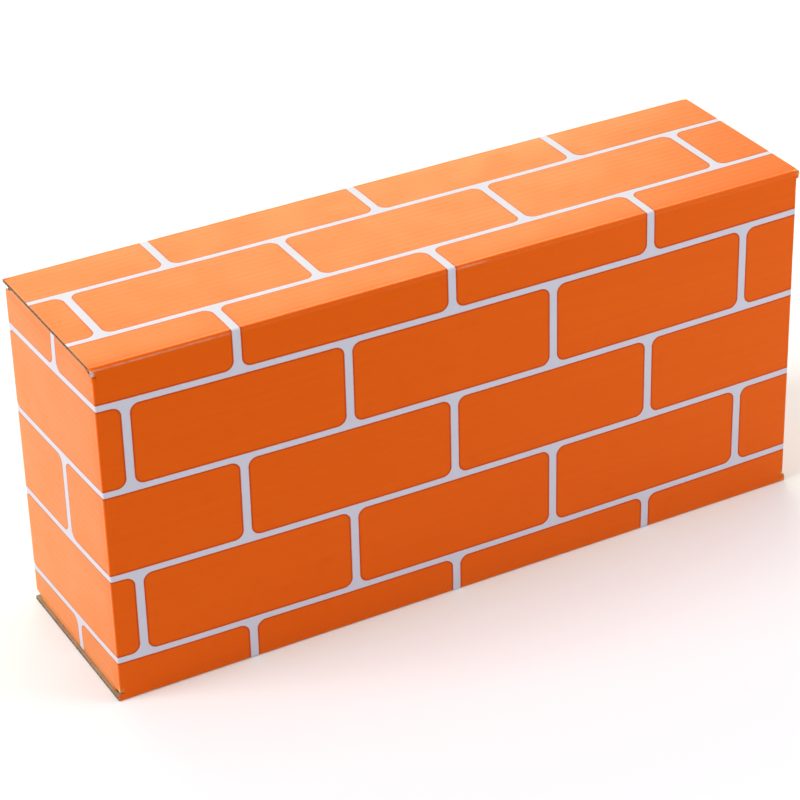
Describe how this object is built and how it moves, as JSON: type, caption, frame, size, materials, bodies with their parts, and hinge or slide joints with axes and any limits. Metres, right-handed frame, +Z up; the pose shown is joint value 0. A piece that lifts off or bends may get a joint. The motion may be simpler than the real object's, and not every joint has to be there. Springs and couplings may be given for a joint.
{
  "type": "building block",
  "caption": "Giant toy building block folded from one sheet of corrugated board, printed with a running-bond brick pattern, with opening panels and tucked ears",
  "frame": {"origin": "middle of the underside of the closed block", "axes": "+X along the block's length to the right seen from the front, +Y from front to back, +Z up"},
  "size_m": [0.31, 0.0826, 0.1466],
  "materials": {
    "printed_paper": "satin print",
    "kraft_paper": "matte",
    "fluted_paper": "matte",
    "folded_board": "satin print"
  },
  "bodies": {
    "bottom_panel": {"bottom_panel_printed_liner": "printed_paper", "bottom_panel_fluting": "fluted_paper", "bottom_panel_inner_liner": "kraft_paper", "front_bottom_fold": "folded_board"},
    "front_panel": {"front_panel_printed_liner": "printed_paper", "front_panel_fluting": "fluted_paper", "front_panel_inner_liner": "kraft_paper", "front_top_fold": "folded_board", "front_left_fold": "folded_board", "front_right_fold": "folded_board"},
    "top_panel": {"top_panel_printed_liner": "printed_paper", "top_panel_fluting": "fluted_paper", "top_panel_inner_liner": "kraft_paper", "top_back_fold": "folded_board"},
    "back_panel": {"back_panel_printed_liner": "printed_paper", "back_panel_fluting": "fluted_paper", "back_panel_inner_liner": "kraft_paper", "back_tuck_fold": "folded_board"},
    "tuck_flap": {"tuck_flap_printed_liner": "printed_paper", "tuck_flap_fluting": "fluted_paper", "tuck_flap_inner_liner": "kraft_paper"},
    "left_end": {"left_end_printed_liner": "printed_paper", "left_end_fluting": "fluted_paper", "left_end_inner_liner": "kraft_paper", "left_upper_ear_fold": "folded_board", "left_lower_ear_fold": "folded_board"},
    "right_end": {"right_end_printed_liner": "printed_paper", "right_end_fluting": "fluted_paper", "right_end_inner_liner": "kraft_paper", "right_upper_ear_fold": "folded_board", "right_lower_ear_fold": "folded_board"},
    "left_upper_ear": {"left_upper_ear_printed_liner": "printed_paper", "left_upper_ear_fluting": "fluted_paper", "left_upper_ear_inner_liner": "kraft_paper"},
    "left_lower_ear": {"left_lower_ear_printed_liner": "printed_paper", "left_lower_ear_fluting": "fluted_paper", "left_lower_ear_inner_liner": "kraft_paper"},
    "right_upper_ear": {"right_upper_ear_printed_liner": "printed_paper", "right_upper_ear_fluting": "fluted_paper", "right_upper_ear_inner_liner": "kraft_paper"},
    "right_lower_ear": {"right_lower_ear_printed_liner": "printed_paper", "right_lower_ear_fluting": "fluted_paper", "right_lower_ear_inner_liner": "kraft_paper"}
  },
  "joints": [
    {"name": "front_opens", "type": "hinge", "parent": "bottom_panel", "child": "front_panel", "pos_m": [0, -0.03975, 0.0015], "axis": [1, 0, 0], "range_deg": [0, 90], "deforming": ["front_bottom_fold"]},
    {"name": "top_opens", "type": "hinge", "parent": "front_panel", "child": "top_panel", "pos_m": [0, -0.03975, 0.1451], "axis": [1, 0, 0], "range_deg": [0, 90], "deforming": ["front_top_fold"]},
    {"name": "back_opens", "type": "hinge", "parent": "top_panel", "child": "back_panel", "pos_m": [0, 0.03975, 0.1451], "axis": [1, 0, 0], "range_deg": [0, 90], "deforming": ["top_back_fold"]},
    {"name": "tuck_folds", "type": "hinge", "parent": "back_panel", "child": "tuck_flap", "pos_m": [0, 0.03975, 0.0033], "axis": [-1, 0, 0], "range_deg": [0, 60], "deforming": ["back_tuck_fold"]},
    {"name": "left_end_opens", "type": "hinge", "parent": "front_panel", "child": "left_end", "pos_m": [-0.1528, -0.03975, 0.0733], "axis": [0, 0, 1], "range_deg": [0, 90], "deforming": ["front_left_fold"]},
    {"name": "right_end_opens", "type": "hinge", "parent": "front_panel", "child": "right_end", "pos_m": [0.1528, -0.03975, 0.0733], "axis": [0, 0, -1], "range_deg": [0, 90], "deforming": ["front_right_fold"]},
    {"name": "left_upper_ear_folds", "type": "hinge", "parent": "left_end", "child": "left_upper_ear", "pos_m": [-0.1528, 0, 0.1433], "axis": [0, 1, 0], "range_deg": [0, 75], "deforming": ["left_upper_ear_fold"]},
    {"name": "left_lower_ear_folds", "type": "hinge", "parent": "left_end", "child": "left_lower_ear", "pos_m": [-0.1528, 0, 0.0033], "axis": [0, -1, 0], "range_deg": [0, 75], "deforming": ["left_lower_ear_fold"]},
    {"name": "right_upper_ear_folds", "type": "hinge", "parent": "right_end", "child": "right_upper_ear", "pos_m": [0.1528, 0, 0.1433], "axis": [0, -1, 0], "range_deg": [0, 75], "deforming": ["right_upper_ear_fold"]},
    {"name": "right_lower_ear_folds", "type": "hinge", "parent": "right_end", "child": "right_lower_ear", "pos_m": [0.1528, 0, 0.0033], "axis": [0, 1, 0], "range_deg": [0, 75], "deforming": ["right_lower_ear_fold"]}
  ]
}
